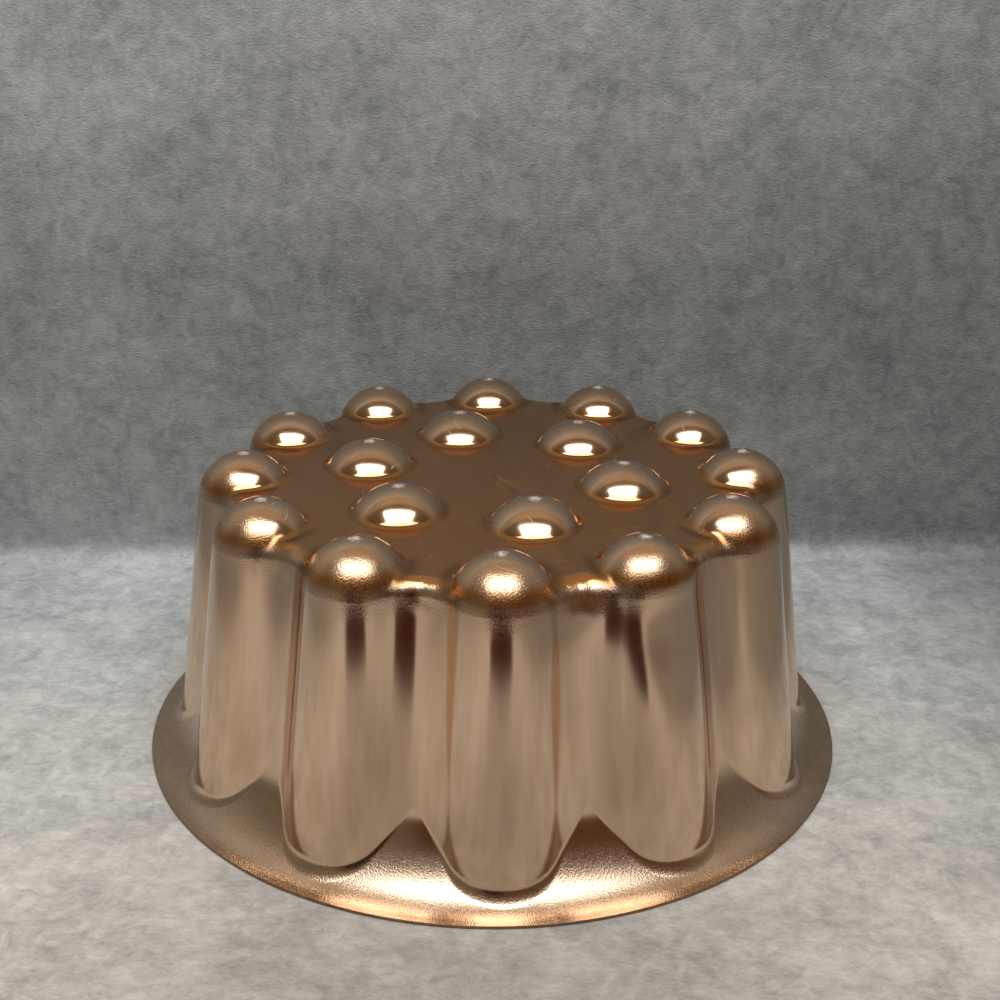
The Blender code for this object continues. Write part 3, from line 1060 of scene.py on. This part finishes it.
@dataclass
class JellyMould:
    """The pressed mould: its copper outside, its plain inside and its cut edge."""

    skin: MouldSkin = field(default_factory=MouldSkin)
    edge_rounding: float = 0.12 * MM
    edge_inset: float = 0.001 * MM
    edge_sides: int = 360
    corner_steps: int = 4

    def add(self, part: Part, mesh: Any, material: Any) -> None:
        """Puts a piece of the mould into the scene.

        Args:
            part: Which piece it is.
            mesh: Its mesh.
            material: Its finish.
        """
        mesh.materials.append(material)
        piece = bpy.data.objects.new(part.value, mesh)
        bpy.context.scene.collection.objects.link(piece)
        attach(piece, "root")
        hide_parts("mould_shell")
        LOG.info("%s: %d vertices", part.value, len(mesh.vertices))

    def outside(self, points: Array, outward: Array) -> None:
        """Builds the copper-coloured outer skin.

        Args:
            points: Points of the outer skin by row and column.
            outward: Directions straight out of it.
        """
        peak = np.array([0.0, 0.0, self.skin.form.deck])
        mesh = self.skin.ring_mesh(Part.OUTSIDE.value, points, outward, peak)
        flat_points = np.concatenate([points.reshape(-1, 3), peak[None]])
        flat_outward = np.concatenate([outward.reshape(-1, 3), [[0.0, 0.0, 1.0]]])
        for name, values in WearMap(self.skin.form).values(flat_points, flat_outward).items():
            mesh.attributes.new(name, "FLOAT", "POINT").data.foreach_set("value", values.astype(np.float32))
        self.add(Part.OUTSIDE, mesh, CopperAnodise().build())

    def inside(self, points: Array, outward: Array) -> None:
        """Builds the inner skin, one sheet's thickness inside the outer one.

        Args:
            points: Points of the outer skin by row and column.
            outward: Directions straight out of it.
        """
        # Half the rows and columns do inside, and the turned order makes its faces look in
        form = self.skin.form
        rows = list(range(0, len(points) - 1, 2)) + [len(points) - 1]
        inner = (points - form.gauge * outward)[rows][:, ::-2]
        facing = -outward[rows][:, ::-2]
        peak = np.array([0.0, 0.0, form.deck - form.gauge])
        mesh = self.skin.ring_mesh(Part.INSIDE.value, inner, facing, peak)
        self.add(Part.INSIDE, mesh, BareAluminium().build())

    def edge(self) -> None:
        """Spins the sheared edge of the rim, with its two corners just rounded."""
        form, corner = self.skin.form, self.edge_rounding
        profile = []
        for centre_z, first in ((corner, -90), (form.gauge - corner, 0)):
            for degrees in np.linspace(first, first + 90, self.corner_steps):
                turn = math.radians(degrees)
                reach = form.rim_radius - corner + corner * math.cos(turn) - self.edge_inset
                profile.append((reach, 0.0, centre_z + corner * math.sin(turn)))
        band = bmesh.new()
        verts = [band.verts.new(place) for place in profile]
        line = [band.edges.new(pair) for pair in zip(verts, verts[1:])]
        bmesh.ops.spin(
            band, geom=verts + line, cent=(0, 0, 0), axis=(0, 0, 1),
            angle=math.tau, steps=self.edge_sides, use_merge=True,
        )
        bmesh.ops.recalc_face_normals(band, faces=band.faces)
        mesh = bpy.data.meshes.new(Part.EDGE.value)
        band.to_mesh(mesh)
        band.free()
        mesh.shade_smooth()
        self.add(Part.EDGE, mesh, CutEdge().build())

    def build(self) -> None:
        """Builds every piece of the mould."""
        form = self.skin.form
        points = self.skin.true_points()
        outward = form.outward(points)
        points, outward = SheetFaults(form).applied(points, outward)
        # The flat of the flange faces up, and its last row makes room for the edge's rounded corner
        flat = self.skin.flat_rows
        outward[-flat:] = self.skin.upward
        points[-1] -= self.skin.sideways * self.edge_rounding
        self.outside(points, outward)
        self.inside(points, outward)
        self.edge()


@dataclass(frozen=True)
class StudioRoom:
    """The room round the table: dim in front, and behind it a brown wall under a pale ceiling."""

    front: str = "#6D6253"
    corner: str = "#5A3F28"
    corner_azimuth: float = math.radians(22)
    corner_rim: tuple[float, float] = (0.52, 0.70)
    back_rim: tuple[float, float] = (0.00, 0.16)
    side_tilt: float = 0.10
    side_lift: float = 0.8
    rise: tuple[tuple[float, str], ...] = (
        (0.20, "#5F574C"),
        (0.40, "#776E5D"),
        (0.69, "#827C6E"),
        (0.78, "#9A8A76"),
        (0.89, "#B39D85"),
        (0.93, "#BCA389"),
        (1.00, "#C4A98E"),
    )

    def build(self) -> None:
        """Makes the world, which is coloured by direction only."""
        world = bpy.data.worlds.new("studio_room")
        world.use_nodes = True
        tree = world.node_tree
        place = add_node(tree, "TexCoord").outputs["Generated"]
        split = add_node(tree, "SeparateXYZ", Vector=place).outputs
        ramp = add_node(tree, "ValToRGB", Fac=split["Z"])
        steps = ramp.color_ramp.elements
        for number, (height, colour) in enumerate(self.rise):
            step = steps[number] if number < 2 else steps.new(height)
            step.position = height
            step.color = linear(colour)

        # The wall is paler to both sides, most of all to the left
        wide = add_node(tree, "Math", MULTIPLY, i0=split["X"], i1=split["X"]).outputs[0]
        side = 1.0
        for share, change in ((wide, self.side_lift), (split["X"], -self.side_tilt)):
            side = add_node(tree, "Math", MULTIPLY_ADD, i0=share, i1=change, i2=side).outputs[0]
        pale = add_node(
            tree, "VectorMath", {"operation": "SCALE"}, i0=ramp.outputs["Color"], Scale=side,
        ).outputs[0]
        low, high = self.back_rim
        behind = add_node(tree, "MapRange", EASED, Value=split["Y"], From_Min=low, From_Max=high).outputs[0]

        # The corner where the photographer stands is dark brown cloth
        heading = (math.sin(self.corner_azimuth), -math.cos(self.corner_azimuth), 0.0)
        toward = add_node(tree, "VectorMath", {"operation": "DOT_PRODUCT"}, i0=place, i1=heading)
        low, high = self.corner_rim
        cloth = add_node(
            tree, "MapRange", EASED, Value=toward.outputs["Value"], From_Min=low, From_Max=high,
        ).outputs[0]
        dim = add_node(
            tree, "Mix", COLOUR, Factor=cloth, i6=linear(self.front), i7=linear(self.corner),
        ).outputs[2]
        colour = add_node(tree, "Mix", COLOUR, Factor=behind, i6=dim, i7=pale).outputs[2]
        tree.links.new(colour, tree.nodes["Background"].inputs["Color"])
        bpy.context.scene.world = world


@dataclass(frozen=True)
class Studio:
    """One sheet of felt that lies under the mould and rises behind it, below a wide overhead light."""

    half_width: float = 1.5
    front: float = -0.62
    wall: float = 0.118
    fold_radius: float = 0.009
    fold_steps: int = 10
    wall_height: float = 0.40
    behind: float = 0.9
    behind_drop: float = 1 * MM
    light_height: float = 1.1
    light_back: float = -0.19
    light_reach: float = 0.62
    middle_reach: float = 0.76
    middle_width: float = 0.48
    light_width: float = 1.12
    left_level: float = 6.3
    middle_level: float = 3.9
    right_level: float = 5.4
    cloth_front: float = -0.295
    cloth_span: tuple[float, float] = (-0.100, 0.057)
    card_place: float = -0.75
    card_span: tuple[float, float] = (-0.29, 0.0)
    card_height: float = 0.36
    card_meeting: float = -0.09
    card_lift: float = 1 * MM

    def sheet(self, name: str, lines: list[tuple[float, float, float, float]], finish: Any) -> Any:
        """Stages a sheet drawn through lines that run from left to right.

        Args:
            name: Name of the object.
            lines: Left end, right end, distance back and height of each line.
            finish: Material of the sheet.

        Returns:
            The new object.
        """
        corners = [(x, y, z) for left, right, y, z in lines for x in (left, right)]
        faces = [(2 * k, 2 * k + 1, 2 * k + 3, 2 * k + 2) for k in range(len(lines) - 1)]
        mesh = bpy.data.meshes.new(name)
        mesh.from_pydata(corners, [], faces)
        mesh.shade_smooth()
        mesh.materials.append(finish)
        piece = bpy.data.objects.new(name, mesh)
        bpy.context.scene.collection.objects.link(piece)
        return piece

    def felt(self) -> None:
        """Lays the felt, with a soft fold where it turns up behind the mould."""
        radius, wide = self.fold_radius, (-self.half_width, self.half_width)
        start = self.wall - radius
        lines = [(*wide, self.front, 0.0)]
        for step in range(self.fold_steps + 1):
            turn = math.pi / 2 * step / self.fold_steps
            lines.append((*wide, start + radius * math.sin(turn), radius - radius * math.cos(turn)))
        lines.append((*wide, self.wall, self.wall_height))
        felt = GreyFelt().build()
        self.sheet("felt", lines, felt)
        # More felt lies behind the wall, for views from the back
        low = -self.behind_drop
        self.sheet("felt_behind", [(*wide, start, low), (*wide, self.behind, low)], felt)

    def section(self, name: str, middle: float, width: float, reach: float, level: float) -> None:
        """Hangs one section of the overhead light, facing straight down.

        Args:
            name: Name of the lamp.
            middle: Where its middle stands from left to right.
            width: Its width.
            reach: How far it runs towards the camera.
            level: How bright its face is.
        """
        light = bpy.data.lights.new(name, "AREA")
        light.shape = "RECTANGLE"
        light.size, light.size_y = width, reach
        light.energy = level * math.pi * width * reach
        lamp = bpy.data.objects.new(name, light)
        lamp.location = (middle, self.light_back - reach / 2, self.light_height)
        bpy.context.scene.collection.objects.link(lamp)

    def cards(self) -> None:
        """Stands a dark card under the camera and lays another before it, for the walls' dark streaks."""
        finish = DarkCard().build()
        far, near, lift = self.card_place, self.cloth_front, self.card_lift
        widening = (far - self.card_meeting) / (near - self.card_meeting)
        left, right = self.cloth_span
        upright = [(*self.card_span, far, 0.0), (*self.card_span, far, self.card_height)]
        flat = [(left * widening, right * widening, far, lift), (left, right, near, lift)]
        for name, lines in (("dark_card_upright", upright), ("dark_card_flat", flat)):
            card = self.sheet(name, lines, finish)
            card.visible_camera = False
            card.visible_shadow = False

    def build(self) -> None:
        """Lays the felt, sets the cards and lights the room."""
        self.felt()
        self.cards()
        side = (self.light_width - self.middle_width) / 2
        offset = (self.light_width - side) / 2
        self.section("light_left", -offset, side, self.light_reach, self.left_level)
        self.section("light_middle", 0.0, self.middle_width, self.middle_reach, self.middle_level)
        self.section("light_right", offset, side, self.light_reach, self.right_level)
        StudioRoom().build()


@dataclass(frozen=True)
class PhotoCamera:
    """Camera at the photograph's viewing angle, found from the rim, the domes and the flutes."""

    frame_pixels: float = 1000.0
    focal_pixels: float = 1405.3
    sensor_mm: float = 36.0
    place: tuple[float, float, float] = (-10.5 * MM, -369.7 * MM, 216.8 * MM)
    pitch_down: float = math.radians(21.778)
    yaw: float = math.radians(-1.892)
    roll: float = math.radians(0.405)
    nearest: float = 10 * MM

    def build(self) -> None:
        """Creates the camera and makes it the scene's own."""
        data = bpy.data.cameras.new("photo_camera")
        data.sensor_width = self.sensor_mm
        data.lens = self.focal_pixels * self.sensor_mm / self.frame_pixels
        data.clip_start = self.nearest
        camera = bpy.data.objects.new("photo_camera", data)
        bpy.context.scene.collection.objects.link(camera)
        level = Matrix.Rotation(math.pi / 2 - self.pitch_down, 4, "X")
        turned = Matrix.Rotation(self.yaw, 4, "Z") @ level @ Matrix.Rotation(self.roll, 4, "Z")
        camera.matrix_world = Matrix.Translation(self.place) @ turned
        bpy.context.scene.camera = camera


def main() -> None:
    """Builds the mould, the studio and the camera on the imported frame."""
    logging.basicConfig(level=logging.INFO, format="%(name)s: %(message)s")
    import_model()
    JellyMould().build()
    Studio().build()
    PhotoCamera().build()
    bpy.context.scene.view_settings.view_transform = "Standard"


if __name__ == "__main__":
    main()
